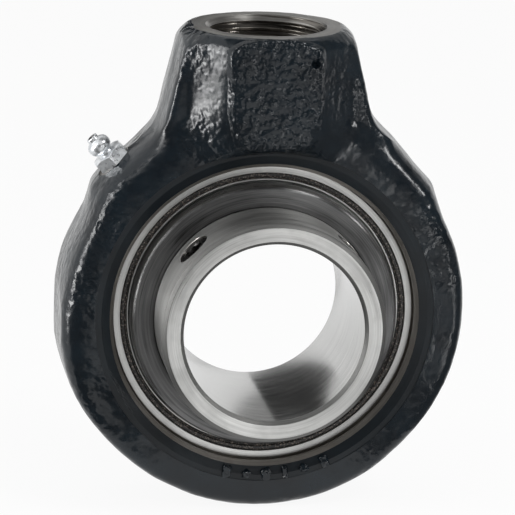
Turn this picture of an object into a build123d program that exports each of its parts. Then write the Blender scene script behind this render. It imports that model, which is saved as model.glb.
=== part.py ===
from build123d import *
import os
from math import acos, atan2, cos, degrees, radians, sin, sqrt, tan

# Hanger bearing unit: a ball bearing insert with a spherical outside, held in a
# cast housing that hangs from a pipe screwed into the boss on top.
# Millimetres. The shaft lies along Y with the long end of the inner ring at -Y,
# the boss points along +Z, and the origin is the centre of the spherical seat.

# ------------------------------------------------------------- insert bearing
bore_radius = 25.0
bore_chamfer = 1.0
inner_ring_wall = 6.0
inner_ring_overhang_front = 22.6
inner_ring_overhang_rear = 9.0
inner_ring_chamfer = 1.2
ball_diameter = 12.7
ball_count = 10
pitch_above_ring = 4.0
sphere_above_pitch = 10.0
outer_shoulder_above_pitch = 3.9
outer_ring_chamfer = 1.9
groove_ease = 0.25
raceway_clearance = 0.02
lube_groove_y = 5.0
lube_groove_width = 4.4
lube_groove_depth = 0.8
lube_hole_y = 6.2
lube_hole_radius = 0.9
lube_hole_angles = (135.0, 15.0)

# ball cage, two corrugated steel rings riveted together
cage_sheet = 0.7
cage_width = 4.4
pocket_clearance = 0.12
cage_end_gap = 0.28
rivet_radius = 0.8
rivet_head_radius = 1.3
rivet_head_height = 0.4
rivet_clearance = 0.02

# seals, pressed into a counterbore at each face of the outer ring
seal_bore_above_pitch = 5.1
seal_bore_depth = 2.55
seal_press_clearance = 0.02
seal_bond_gap = 0.01
seal_rubber_width = 1.9
seal_rubber_sunk = 0.4
seal_membrane = 0.4
seal_plate = 0.6
seal_rim_wall = 0.45
seal_rim_sunk = 1.1
seal_plate_above_ring = 2.2
seal_lip_width = 1.4
seal_lip_edge = 0.45
seal_lip_sunk = 1.2
seal_lip_clearance = 0.05

# flingers, pressed on the inner ring outside the seals
flinger_sheet = 0.8
flinger_stand_off = 4.0
flinger_gap = 0.65
flinger_skirt_sunk = 0.9
flinger_hub_sunk = 0.6
flinger_press_clearance = 0.01
flinger_bend_radius = 1.3

# set screws in the long end of the inner ring
set_screw_radius = 4.9
set_screw_clearance = 0.05
set_screw_length = 5.4
set_screw_sunk = 0.4
set_screw_from_end = 10.0
set_screw_angles = (135.0, 45.0)
set_screw_socket = 5.0
set_screw_socket_depth = 3.0
set_screw_cup_radius = 2.6
set_screw_cup_floor = 1.3
set_screw_cup_depth = 0.8
set_screw_chamfer = 0.6

# ------------------------------------------------------------- cast housing
# ring and seat
seat_clearance = 0.05
housing_cover = 4.5
housing_wall = 11.4
housing_rise = 0.9
housing_edge_radius = 3.6
spot_face_width = 4.75
slot_clearance = 0.3

# neck, shoulders, column and boss
boss_rise = 23.2
boss_wall = 6.955
boss_cone_angle = 45.0
boss_cone_drop = 7.0
neck_side_wall = 1.7
neck_lean = 13.5
neck_set_back = 2.5
neck_draft = 5.0
neck_edge_radius = 1.8
neck_corner_radius = 12.0
shoulder_rise = 2.7
shoulder_flat = 8.8
shoulder_end_radius = 5.0
pad_half_width = 11.6
pad_stand_off = 8.0
facet_inset = 1.1
pad_corner_radius = 6.0
column_foot_drop = 5.05
column_foot_fillet = 7.0

# pipe thread in the boss
thread_radius = 15.145
thread_depth = 25.0
thread_chamfer = 1.7

# ------------------------------------------------------------- grease nipple
nipple_angle = 135.0
nipple_hex = 9.0
nipple_hex_height = 3.5
nipple_hex_chamfer = 0.5
nipple_shank_radius = 3.9
nipple_shank_length = 5.5
nipple_hole_clearance = 0.05
nipple_spot_face_radius = 5.9
nipple_spot_face_depth = 0.7
nipple_hole_spare = 1.0
nipple_neck_radius = 2.25
nipple_neck_height = 0.7
nipple_head_radius = 3.4
nipple_head_height = 4.2
nipple_head_flank = 1.1
nipple_tip_radius = 1.7
nipple_tip_height = 1.1
nipple_bore_radius = 1.3
nipple_mouth_radius = 0.8
nipple_ball_radius = 1.2
nipple_ball_clearance = 0.02
nipple_seat_below_tip = 1.2
spring_wire_radius = 0.2
spring_turns = 6
spring_end_gap = 0.05
spring_wall_gap = 0.08
retainer_height = 0.8
retainer_radius = 0.8
grease_passage_radius = 1.6
grease_pocket_radius = 4.6
grease_pocket_depth = 1.0

# ------------------------------------------------------------- worked sizes
# radii, built outwards from the bore
ball_radius = ball_diameter / 2
inner_ring_radius = bore_radius + inner_ring_wall
pitch_radius = inner_ring_radius + pitch_above_ring
outer_shoulder_radius = pitch_radius + outer_shoulder_above_pitch
seal_bore_radius = pitch_radius + seal_bore_above_pitch
sphere_radius = pitch_radius + sphere_above_pitch
seat_radius = sphere_radius + seat_clearance
groove_radius = ball_radius + groove_ease
groove_offset = groove_radius - ball_radius - raceway_clearance
pocket_radius = ball_radius + pocket_clearance
seal_plate_bore_radius = inner_ring_radius + seal_plate_above_ring
seal_rim_radius = seal_bore_radius - seal_rubber_width
flinger_radius = seal_rim_radius - seal_rim_wall - flinger_gap

# distances along the shaft, built outwards from the plane of the balls
seal_inner_face = pocket_radius + cage_sheet + cage_end_gap
outer_half_width = seal_inner_face + seal_bore_depth
seal_rubber_face = outer_half_width - seal_rubber_sunk
seal_rim_face = outer_half_width - seal_rim_sunk
seal_lip_face = outer_half_width - seal_lip_sunk
flinger_face = outer_half_width + flinger_stand_off
flinger_skirt_end = outer_half_width - flinger_skirt_sunk
flinger_hub_end = outer_half_width - flinger_hub_sunk
inner_ring_front = outer_half_width + inner_ring_overhang_front
inner_ring_rear = outer_half_width + inner_ring_overhang_rear
set_screw_y = set_screw_from_end - inner_ring_front
set_screw_top = inner_ring_radius - set_screw_sunk

# the casting, built round the seat and the thread
housing_half_width = outer_half_width + housing_cover
housing_radius = sphere_radius + housing_wall
mouth_radius = sqrt(seat_radius**2 - housing_half_width**2)
spot_face_radius = mouth_radius + spot_face_width
boss_height = housing_radius + boss_rise
boss_face_radius = thread_radius + boss_wall
neck_half_width = boss_face_radius + neck_side_wall
neck_half_thickness = housing_half_width - neck_set_back
facet_half_width = neck_half_width - facet_inset
pad_depth = housing_half_width + pad_stand_off
column_foot_height = seat_radius - column_foot_drop
shoulder_distance = housing_radius + shoulder_rise
nipple_height = nipple_hex_height + nipple_neck_height + nipple_head_height + nipple_tip_height

# how near a value must come to its target when an edge or corner is picked
select_tolerance = 0.01

os.makedirs("parts", exist_ok=True)


def across_shaft(angle):
    """Unit vector across the shaft, at an angle from +X towards +Z."""
    return Vector(cos(radians(angle)), 0, sin(radians(angle)))


def radial_plane(angle, y=0.0, distance=0.0):
    """Plane whose normal points away from the shaft axis at that angle."""
    away = across_shaft(angle)
    return Plane(origin=away * distance + Vector(0, y, 0), x_dir=(0, 1, 0), z_dir=away)


def near(value, target):
    """Whether a measured value is its target, within the tolerance."""
    return abs(value - target) < select_tolerance


def save(builder, name):
    """Label a finished piece and write it out."""
    builder.part.label = name
    export_step(builder.part, f"parts/{name}.step")


# ------------------------------------------------------------- outer ring
# Its outside is a sphere, so that the whole insert can tilt in the housing.
with BuildPart() as outer_ring:
    with BuildSketch(Plane.XY):
        Rectangle(sphere_radius, 2 * outer_half_width, align=(Align.MIN, Align.CENTER))
        Circle(sphere_radius, mode=Mode.INTERSECT)
        chamfer(vertices().group_by(Axis.X)[-1], outer_ring_chamfer)
        Rectangle(outer_shoulder_radius, 2 * outer_half_width,
                  align=(Align.MIN, Align.CENTER), mode=Mode.SUBTRACT)
        with Locations((pitch_radius - groove_offset, 0)):
            Circle(groove_radius, mode=Mode.SUBTRACT)
        with Locations((0, outer_half_width), (0, -outer_half_width)):
            Rectangle(seal_bore_radius, 2 * (outer_half_width - seal_inner_face),
                      align=(Align.MIN, Align.CENTER), mode=Mode.SUBTRACT)
        with Locations((sqrt(sphere_radius**2 - lube_groove_y**2), lube_groove_y)):
            Rectangle(2 * lube_groove_depth, lube_groove_width, mode=Mode.SUBTRACT)
    revolve(axis=Axis.Y)
    for angle in lube_hole_angles:
        with BuildSketch(radial_plane(angle, lube_hole_y)):
            Circle(lube_hole_radius)
        extrude(amount=sphere_radius, mode=Mode.SUBTRACT)
save(outer_ring, "outer_ring")

# ------------------------------------------------------------- inner ring
with BuildPart() as inner_ring:
    with BuildSketch(Plane.XY):
        with Locations((bore_radius, -inner_ring_front)):
            Rectangle(inner_ring_radius - bore_radius, inner_ring_front + inner_ring_rear,
                      align=(Align.MIN, Align.MIN))
        chamfer(vertices().sort_by(Axis.X)[:2], bore_chamfer)
        chamfer(vertices().sort_by(Axis.X)[-2:], inner_ring_chamfer)
        with Locations((pitch_radius + groove_offset, 0)):
            Circle(groove_radius, mode=Mode.SUBTRACT)
    revolve(axis=Axis.Y)
    for angle in set_screw_angles:
        with BuildSketch(radial_plane(angle, set_screw_y)):
            Circle(set_screw_radius + set_screw_clearance)
        extrude(amount=inner_ring_radius, mode=Mode.SUBTRACT)
save(inner_ring, "inner_ring")

# ------------------------------------------------------------- balls
for number in range(ball_count):
    place = across_shaft(360.0 * number / ball_count) * pitch_radius
    with BuildPart(Plane(origin=place, z_dir=(0, 1, 0))) as ball:
        Sphere(ball_radius)
    save(ball, f"ball_{number + 1:02d}")

# ------------------------------------------------------------- ball cage
# Each half is a flat ring bulged into round pockets; the flats between the
# pockets meet in the plane of the balls and are riveted.
with BuildPart(Plane.XZ) as cage_front:
    with BuildSketch(Plane.XZ):
        Circle(pitch_radius + cage_width / 2)
        Circle(pitch_radius - cage_width / 2, mode=Mode.SUBTRACT)
    extrude(amount=cage_sheet)
    with PolarLocations(pitch_radius, ball_count):
        Sphere(pocket_radius + cage_sheet)
    with BuildSketch(Plane.XZ):
        Circle(pitch_radius + cage_width / 2)
        Circle(pitch_radius - cage_width / 2, mode=Mode.SUBTRACT)
    extrude(amount=pocket_radius + cage_sheet, mode=Mode.INTERSECT)
    with PolarLocations(pitch_radius, ball_count):
        Sphere(pocket_radius, mode=Mode.SUBTRACT)
    with PolarLocations(pitch_radius, ball_count, start_angle=180 / ball_count):
        Cylinder(rivet_radius + rivet_clearance, 4 * cage_sheet, mode=Mode.SUBTRACT)
save(cage_front, "cage_front")

with BuildPart() as cage_rear:
    mirror(cage_front.part, about=Plane.XZ)
save(cage_rear, "cage_rear")

with BuildPart(Plane.XZ) as cage_rivets:
    with PolarLocations(pitch_radius, ball_count, start_angle=180 / ball_count):
        Cylinder(rivet_radius, 2 * cage_sheet)
        with Locations((0, 0, cage_sheet)):
            Cylinder(rivet_head_radius, rivet_head_height, align=(Align.CENTER, Align.CENTER, Align.MIN))
        with Locations((0, 0, -cage_sheet)):
            Cylinder(rivet_head_radius, rivet_head_height, align=(Align.CENTER, Align.CENTER, Align.MAX))
save(cage_rivets, "cage_rivets")

# ------------------------------------------------------------- seals
# A steel plate with a turned-out rim, in rubber that grips the outer ring and
# wipes the inner ring.
with BuildPart() as front_seal_plate:
    with BuildSketch(Plane.XY):
        with BuildLine():
            plate_inner = -(seal_inner_face + seal_membrane)
            plate_outer = plate_inner - seal_plate
            Polyline(
                (seal_plate_bore_radius, plate_inner),
                (seal_rim_radius, plate_inner),
                (seal_rim_radius, -seal_rim_face),
                (seal_rim_radius - seal_rim_wall, -seal_rim_face),
                (seal_rim_radius - seal_rim_wall, plate_outer),
                (seal_plate_bore_radius, plate_outer),
                close=True,
            )
        make_face()
    revolve(axis=Axis.Y)
save(front_seal_plate, "front_seal_plate")

with BuildPart() as front_seal_rubber:
    with BuildSketch(Plane.XY):
        with BuildLine():
            lip_radius = inner_ring_radius + seal_lip_clearance
            grip_radius = seal_bore_radius - seal_press_clearance
            sheet_outer = -(seal_inner_face + seal_membrane - seal_bond_gap)
            Polyline(
                (lip_radius, -seal_inner_face),
                (grip_radius, -seal_inner_face),
                (grip_radius, -seal_rubber_face),
                (seal_rim_radius + seal_bond_gap, -seal_rubber_face),
                (seal_rim_radius + seal_bond_gap, sheet_outer),
                (lip_radius + seal_lip_width, sheet_outer),
                (lip_radius + seal_lip_edge, -seal_lip_face),
                (lip_radius, -seal_lip_face),
                close=True,
            )
        make_face()
    revolve(axis=Axis.Y)
save(front_seal_rubber, "front_seal_rubber")

with BuildPart() as rear_seal_plate:
    mirror(front_seal_plate.part, about=Plane.XZ)
save(rear_seal_plate, "rear_seal_plate")

with BuildPart() as rear_seal_rubber:
    mirror(front_seal_rubber.part, about=Plane.XZ)
save(rear_seal_rubber, "rear_seal_rubber")

# ------------------------------------------------------------- flingers
with BuildPart() as front_flinger:
    with BuildSketch(Plane.XY):
        with BuildLine():
            hub_radius = inner_ring_radius + flinger_press_clearance
            Polyline(
                (hub_radius, -flinger_face),
                (flinger_radius, -flinger_face),
                (flinger_radius, -flinger_skirt_end),
                (flinger_radius - flinger_sheet, -flinger_skirt_end),
                (flinger_radius - flinger_sheet, -flinger_face + flinger_sheet),
                (hub_radius + flinger_sheet, -flinger_face + flinger_sheet),
                (hub_radius + flinger_sheet, -flinger_hub_end),
                (hub_radius, -flinger_hub_end),
                close=True,
            )
        make_face()
        outer_bend = vertices().group_by(Axis.Y)[0].sort_by(Axis.X)[-1]
        inner_bend = vertices().group_by(Axis.Y)[1].sort_by(Axis.X)[-1]
        fillet(outer_bend, flinger_bend_radius)
        fillet(inner_bend, flinger_bend_radius - flinger_sheet)
    revolve(axis=Axis.Y)
save(front_flinger, "front_flinger")

with BuildPart() as rear_flinger:
    mirror(front_flinger.part, about=Plane.XZ)
save(rear_flinger, "rear_flinger")

# ------------------------------------------------------------- set screws
for name, angle in zip(("set_screw_left", "set_screw_right"), set_screw_angles):
    point = radial_plane(angle, set_screw_y, set_screw_top - set_screw_length)
    with BuildPart() as set_screw:
        with BuildSketch(point):
            Circle(set_screw_radius)
        extrude(amount=set_screw_length)
        chamfer(edges().filter_by(GeomType.CIRCLE), set_screw_chamfer)
        with BuildSketch(point.offset(set_screw_length)):
            RegularPolygon(set_screw_socket / 2, 6, major_radius=False)
        extrude(amount=-set_screw_socket_depth, mode=Mode.SUBTRACT)
        with Locations(point):
            Cone(set_screw_cup_radius, set_screw_cup_floor, set_screw_cup_depth,
                 align=(Align.CENTER, Align.CENTER, Align.MIN), mode=Mode.SUBTRACT)
    save(set_screw, name)

# ------------------------------------------------------------- housing
nipple_distance = shoulder_distance - nipple_spot_face_depth
nipple_plane = radial_plane(nipple_angle, 0, nipple_distance)
lean = tan(radians(neck_lean))
shoulder_sum = shoulder_distance * sqrt(2)
# where the leaning side of the neck meets the 45 degree shoulder
corner_drop = (shoulder_sum - boss_height - neck_half_width) / (lean - 1)
corner_x = neck_half_width + lean * corner_drop
shoulder_middle = across_shaft(45) * shoulder_distance
shoulder_end = shoulder_middle + across_shaft(-45) * shoulder_flat
shoulder_end = Vector(shoulder_end.X, shoulder_end.Z)
# below its flat the shoulder runs down in a line that touches the ring
ring_centre = Vector(0, housing_rise)
to_shoulder = shoulder_end - ring_centre
touch_angle = degrees(atan2(to_shoulder.Y, to_shoulder.X) - acos(housing_radius / to_shoulder.length))
touch = ring_centre + Vector(cos(radians(touch_angle)), sin(radians(touch_angle))) * housing_radius

# a plate across the shaft, drafted both ways from the parting plane of the mould
with BuildPart() as neck:
    with BuildSketch(Plane.XZ):
        with BuildLine():
            Polyline(
                (0, boss_height),
                (neck_half_width, boss_height),
                (corner_x, boss_height - corner_drop),
                (shoulder_end.X, shoulder_end.Y),
                (touch.X, touch.Y),
                (0, touch.Y),
            )
            mirror(about=Plane.YZ)
        make_face()
        fillet(vertices().filter_by(lambda v: near(abs(v.X), corner_x)), neck_corner_radius)
        fillet(vertices().filter_by(lambda v: near(abs(v.X), shoulder_end.X)), shoulder_end_radius)
    extrude(amount=neck_half_thickness, both=True, taper=neck_draft)
    outline = edges().filter_by(lambda e: near(abs(e.center().Y), neck_half_thickness))
    sides = outline.filter_by(
        lambda e: touch.Y + select_tolerance < e.center().Z < boss_height - select_tolerance)
    fillet(sides, neck_edge_radius)

# an upright column with slanted facets, which carries the boss
with BuildPart() as column:
    with BuildSketch(Plane.XY.offset(column_foot_height)):
        with BuildLine():
            Polyline(
                (pad_half_width, -pad_depth),
                (facet_half_width, -neck_half_thickness),
                (facet_half_width, neck_half_thickness),
                (pad_half_width, pad_depth),
                (-pad_half_width, pad_depth),
                (-facet_half_width, neck_half_thickness),
                (-facet_half_width, -neck_half_thickness),
                (-pad_half_width, -pad_depth),
                close=True,
            )
        make_face()
        fillet(vertices().filter_by(lambda v: near(abs(v.X), pad_half_width)), pad_corner_radius)
    extrude(amount=boss_height - column_foot_height)

with BuildPart() as housing:
    with BuildSketch(Plane.XZ):
        with Locations((0, housing_rise)):
            Circle(housing_radius)
    extrude(amount=housing_half_width, both=True)
    fillet(edges().filter_by(GeomType.CIRCLE), housing_edge_radius)
    add(neck.part)
    add(column.part)
    # the facets of the column run out into the faces of the ring
    facet_feet = edges().filter_by(Axis.Z).filter_by(lambda e: near(abs(e.center().Y), housing_half_width))
    fillet(facet_feet, column_foot_fillet)
    # a spot face round the mouth of the seat on each side
    for side in (-1, 1):
        with BuildSketch(Plane.XZ.offset(side * housing_half_width)):
            Circle(spot_face_radius)
        extrude(amount=side * pad_depth, mode=Mode.SUBTRACT)
    # the boss is turned to a cone under its machined face
    with BuildSketch(Plane.XZ):
        with BuildLine():
            cone_spread = boss_cone_drop * tan(radians(boss_cone_angle))
            Polyline(
                (boss_face_radius, boss_height),
                (boss_face_radius + cone_spread, boss_height - boss_cone_drop),
                (2 * housing_radius, boss_height - boss_cone_drop),
                (2 * housing_radius, boss_height),
                close=True,
            )
        make_face()
    revolve(axis=Axis.Z, mode=Mode.SUBTRACT)
    # spherical seat
    Sphere(seat_radius, mode=Mode.SUBTRACT)
    # loading slots: the insert goes in sideways from the rear and turns into place
    with BuildSketch(Plane.XY):
        Rectangle(seat_radius, housing_half_width, align=(Align.MIN, Align.MIN))
        Rectangle(seat_radius, housing_half_width, align=(Align.MAX, Align.MIN))
    extrude(amount=outer_half_width + slot_clearance, both=True, mode=Mode.SUBTRACT)
    # blind hole for the pipe thread
    with BuildSketch(Plane.XY.offset(boss_height)):
        Circle(thread_radius)
    extrude(amount=-thread_depth, mode=Mode.SUBTRACT)
    mouth = edges().filter_by(GeomType.CIRCLE).filter_by(
        lambda e: near(e.center().Z, boss_height) and near(e.radius, thread_radius))
    chamfer(mouth, thread_chamfer)
    # spot face and hole for the grease nipple, its passage and the pocket at the seat
    with BuildSketch(nipple_plane):
        Circle(nipple_spot_face_radius)
    extrude(amount=nipple_height, mode=Mode.SUBTRACT)
    with BuildSketch(nipple_plane):
        Circle(nipple_shank_radius + nipple_hole_clearance)
    extrude(amount=-(nipple_shank_length + nipple_hole_spare), mode=Mode.SUBTRACT)
    with BuildSketch(nipple_plane):
        Circle(grease_passage_radius)
    extrude(amount=sphere_radius - nipple_distance, mode=Mode.SUBTRACT)
    with BuildSketch(radial_plane(nipple_angle, 0, seat_radius + grease_pocket_depth)):
        Circle(grease_pocket_radius)
    extrude(amount=-2 * grease_pocket_depth, mode=Mode.SUBTRACT)
save(housing, "housing")

# ------------------------------------------------------------- grease nipple
nipple_axis = Axis(nipple_plane.origin, nipple_plane.z_dir)
# section plane through the nipple: local x across it, local y along it
nipple_section = Plane(origin=nipple_plane.origin, x_dir=(0, 1, 0),
                       z_dir=nipple_plane.x_dir.cross(nipple_plane.z_dir))
seat_height = nipple_height - nipple_seat_below_tip
seat_cone = nipple_bore_radius - nipple_mouth_radius
head_bottom = nipple_hex_height + nipple_neck_height
head_top = head_bottom + nipple_head_height

with BuildPart() as nipple_body:
    with BuildSketch(nipple_plane):
        RegularPolygon(nipple_hex / 2, 6, major_radius=False)
    extrude(amount=nipple_hex_height)
    with BuildSketch(nipple_section):
        with BuildLine():
            Polyline(
                (0, -nipple_shank_length),
                (nipple_shank_radius, -nipple_shank_length),
                (nipple_shank_radius, 0),
                (nipple_neck_radius, 0),
                (nipple_neck_radius, head_bottom),
                (nipple_head_radius, head_bottom + nipple_head_flank),
                (nipple_head_radius, head_top - nipple_head_flank),
                (nipple_tip_radius, head_top),
                (nipple_tip_radius, nipple_height),
                (0, nipple_height),
                close=True,
            )
        make_face()
    revolve(axis=nipple_axis)
    with BuildSketch(nipple_section):
        with BuildLine():
            Polyline(
                (0, -nipple_shank_length),
                (retainer_radius, -nipple_shank_length),
                (retainer_radius, -nipple_shank_length + retainer_height),
                (nipple_bore_radius, -nipple_shank_length + retainer_height),
                (nipple_bore_radius, seat_height),
                (nipple_mouth_radius, seat_height + seat_cone),
                (nipple_mouth_radius, nipple_height),
                (0, nipple_height),
                close=True,
            )
        make_face()
    revolve(axis=nipple_axis, mode=Mode.SUBTRACT)
save(nipple_body, "nipple_body")

# the ball rests on the cone of its seat
ball_height = seat_height + nipple_bore_radius - sqrt(2) * (nipple_ball_radius + nipple_ball_clearance)
with BuildPart(nipple_plane.offset(ball_height)) as nipple_ball:
    Sphere(nipple_ball_radius)
save(nipple_ball, "nipple_ball")

spring_radius = nipple_bore_radius - spring_wall_gap - spring_wire_radius
spring_bottom = -nipple_shank_length + retainer_height + spring_end_gap + spring_wire_radius
spring_top = ball_height - sqrt(
    (nipple_ball_radius + spring_end_gap + spring_wire_radius)**2 - spring_radius**2)
spring_length = spring_top - spring_bottom
with BuildPart() as nipple_spring:
    with BuildLine() as coil:
        Helix(spring_length / spring_turns, spring_length, spring_radius,
              center=nipple_plane.offset(spring_bottom).origin, direction=nipple_plane.z_dir)
    with BuildSketch(Plane(origin=coil.line @ 0, z_dir=coil.line % 0)):
        Circle(spring_wire_radius)
    sweep(is_frenet=True)
save(nipple_spring, "nipple_spring")
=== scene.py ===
import math

import bmesh
import bpy
from mathutils import Matrix, Vector, noise


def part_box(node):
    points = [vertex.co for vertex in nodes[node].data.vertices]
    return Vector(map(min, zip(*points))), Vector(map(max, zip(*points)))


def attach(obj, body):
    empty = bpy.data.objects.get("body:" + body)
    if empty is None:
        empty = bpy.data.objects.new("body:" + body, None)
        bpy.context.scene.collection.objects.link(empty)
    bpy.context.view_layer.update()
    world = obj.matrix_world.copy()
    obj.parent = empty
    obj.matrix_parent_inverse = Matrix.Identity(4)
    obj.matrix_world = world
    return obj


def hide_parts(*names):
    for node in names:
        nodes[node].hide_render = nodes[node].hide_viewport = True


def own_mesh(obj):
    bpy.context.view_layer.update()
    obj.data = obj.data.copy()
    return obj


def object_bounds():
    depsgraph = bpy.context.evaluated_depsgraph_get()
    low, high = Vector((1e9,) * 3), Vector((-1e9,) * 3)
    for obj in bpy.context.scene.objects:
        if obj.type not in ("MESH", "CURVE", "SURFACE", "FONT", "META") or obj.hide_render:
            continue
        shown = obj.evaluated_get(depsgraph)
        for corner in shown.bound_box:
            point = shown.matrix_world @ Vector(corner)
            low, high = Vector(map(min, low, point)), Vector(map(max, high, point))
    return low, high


# A hanger bearing unit: a bearing insert in a sand-cast housing with a threaded boss.
# Metres; the shaft lies along Y, the boss points along Z, the origin is the seat's centre.

mm = 0.001
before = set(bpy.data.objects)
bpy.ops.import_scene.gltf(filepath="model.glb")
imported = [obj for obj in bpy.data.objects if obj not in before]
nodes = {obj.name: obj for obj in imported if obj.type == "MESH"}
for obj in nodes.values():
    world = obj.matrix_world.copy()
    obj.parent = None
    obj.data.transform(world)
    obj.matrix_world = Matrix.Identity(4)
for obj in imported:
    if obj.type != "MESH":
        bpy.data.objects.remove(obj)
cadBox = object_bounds()
print("frame loaded,", len(nodes), "nodes")


def boxMm(node):
    low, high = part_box(node)
    return low / mm, high / mm


# ---- making materials

def hexColour(code):
    channels = [int(code[i:i + 2], 16) / 255 for i in (1, 3, 5)]
    linear = [c / 12.92 if c <= 0.04045 else ((c + 0.055) / 1.055) ** 2.4 for c in channels]
    return (*linear, 1.0)


def addNode(tree, kind, inputs=None, **settings):
    node = tree.nodes.new(kind)
    for key, value in settings.items():
        setattr(node, key, value)
    for key, value in (inputs or {}).items():
        if isinstance(value, bpy.types.NodeSocket):
            tree.links.new(value, node.inputs[key])
        else:
            node.inputs[key].default_value = value
    return node


def newMaterial(name):
    material = bpy.data.materials.new(name)
    material.use_nodes = True
    tree = material.node_tree
    tree.nodes.clear()
    shader = addNode(tree, "ShaderNodeBsdfPrincipled")
    addNode(tree, "ShaderNodeOutputMaterial", {"Surface": shader.outputs[0]})
    place = addNode(tree, "ShaderNodeTexCoord").outputs["Object"]
    return material, tree, shader, place


def grain(tree, place, sizeMm, detail=2.0, roughness=0.5, kind="3D"):
    # noise whose lumps are about sizeMm across
    return addNode(tree, "ShaderNodeTexNoise", {"Vector": place, "Scale": 1 / (sizeMm * mm),
                   "Detail": detail, "Roughness": roughness}, noise_dimensions=kind).outputs["Fac"]


def ramp(tree, factor, stops):
    node = addNode(tree, "ShaderNodeValToRGB", {"Fac": factor})
    elements = node.color_ramp.elements
    while len(elements) < len(stops):
        elements.new(0.5)
    for element, (position, colour) in zip(elements, stops):
        element.position = position
        element.color = hexColour(colour) if isinstance(colour, str) else (colour, colour, colour, 1)
    return node.outputs["Color"]


def bump(tree, height, depthMm, normal=None, strength=1.0):
    inputs = {"Height": height, "Distance": depthMm * mm, "Strength": strength}
    if normal is not None:
        inputs["Normal"] = normal
    return addNode(tree, "ShaderNodeBump", inputs).outputs["Normal"]


def maths(tree, operation, first, second=0.0):
    return addNode(tree, "ShaderNodeMath", {0: first, 1: second}, operation=operation).outputs[0]


def lathePlace(tree, place, axis, pitchMm, lengthMm):
    # a lathe's marks: fine across the cut and long round the axis
    parts = addNode(tree, "ShaderNodeSeparateXYZ", {"Vector": place})
    others = [name for name in "XYZ" if name != axis]
    first, second = (parts.outputs[name] for name in others)
    firstSquare, secondSquare = (maths(tree, "MULTIPLY", part, part) for part in (first, second))
    radius = maths(tree, "SQRT", maths(tree, "ADD", firstSquare, secondSquare))
    across = 1 / (pitchMm * mm)
    around = 1 / (lengthMm * mm)
    along = maths(tree, "MULTIPLY", parts.outputs[axis], across)
    out = maths(tree, "MULTIPLY", radius, across)
    sweep = maths(tree, "MULTIPLY", first, around)
    marks = addNode(tree, "ShaderNodeCombineXYZ", {"X": out, "Y": along, "Z": sweep}).outputs[0]
    return marks, maths(tree, "MULTIPLY", second, around)


def latheMarks(tree, place, axis, pitchMm, lengthMm, detail=3.0):
    vector, fourth = lathePlace(tree, place, axis, pitchMm, lengthMm)
    return addNode(tree, "ShaderNodeTexNoise", {"Vector": vector, "W": fourth, "Scale": 1.0,
                   "Detail": detail, "Roughness": 0.6}, noise_dimensions="4D").outputs["Fac"]


def castEnamel():
    # gloss alkyd enamel sprayed on sand-cast iron: it keeps the sand's grain, rounded and shiny
    material, tree, shader, place = newMaterial("castEnamel")
    patches = grain(tree, place, 9.0, 3.0)
    colour = ramp(tree, patches, [(0.3, "#0b1218"), (0.7, "#141e25")])
    tree.links.new(colour, shader.inputs["Base Color"])
    # the boss pads and patches of the ring were sprayed thin, so the sand shows there
    depthways = addNode(tree, "ShaderNodeSeparateXYZ", {"Vector": place}).outputs["Y"]
    pads = addNode(tree, "ShaderNodeMapRange", {"Value": maths(tree, "ABSOLUTE", depthways),
                   "From Min": 0.0206, "From Max": 0.0216, "To Min": 0.0, "To Max": 1.0}).outputs[0]
    thin = ramp(tree, grain(tree, place, 26.0, 1.0), [(0.5, 0.06), (0.64, 0.45)])
    coarse = maths(tree, "MAXIMUM", pads, thin)
    peel = bump(tree, grain(tree, place, 4.0, 1.5), 0.2)
    sand = maths(tree, "MULTIPLY", grain(tree, place, 2.0, 1.0, 0.4), coarse)
    tree.links.new(bump(tree, sand, 1.15, peel), shader.inputs["Normal"])
    wear = addNode(tree, "ShaderNodeMapRange", {"Value": grain(tree, place, 2.2, 3.0),
                   "From Min": 0.3, "From Max": 0.7, "To Min": 0.16, "To Max": 0.27}).outputs[0]
    tree.links.new(wear, shader.inputs["Roughness"])
    shader.inputs["IOR"].default_value = 1.46
    return material


def machinedEnamel():
    # the same enamel where it lies on a turned face, so it is smooth with faint rings; its colour is a touch
    # darker than the cast enamel's, painted shade for the dark band round the mouth
    material, tree, shader, place = newMaterial("machinedEnamel")
    colour = ramp(tree, grain(tree, place, 12.0, 3.0), [(0.3, "#0b1116"), (0.7, "#121b21")])
    tree.links.new(colour, shader.inputs["Base Color"])
    peel = bump(tree, grain(tree, place, 2.2, 1.5), 0.05)
    rings = bump(tree, latheMarks(tree, place, "Y", 0.5, 40.0), 0.03, peel)
    tree.links.new(rings, shader.inputs["Normal"])
    shader.inputs["Roughness"].default_value = 0.3
    shader.inputs["IOR"].default_value = 1.4
    return material


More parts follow.
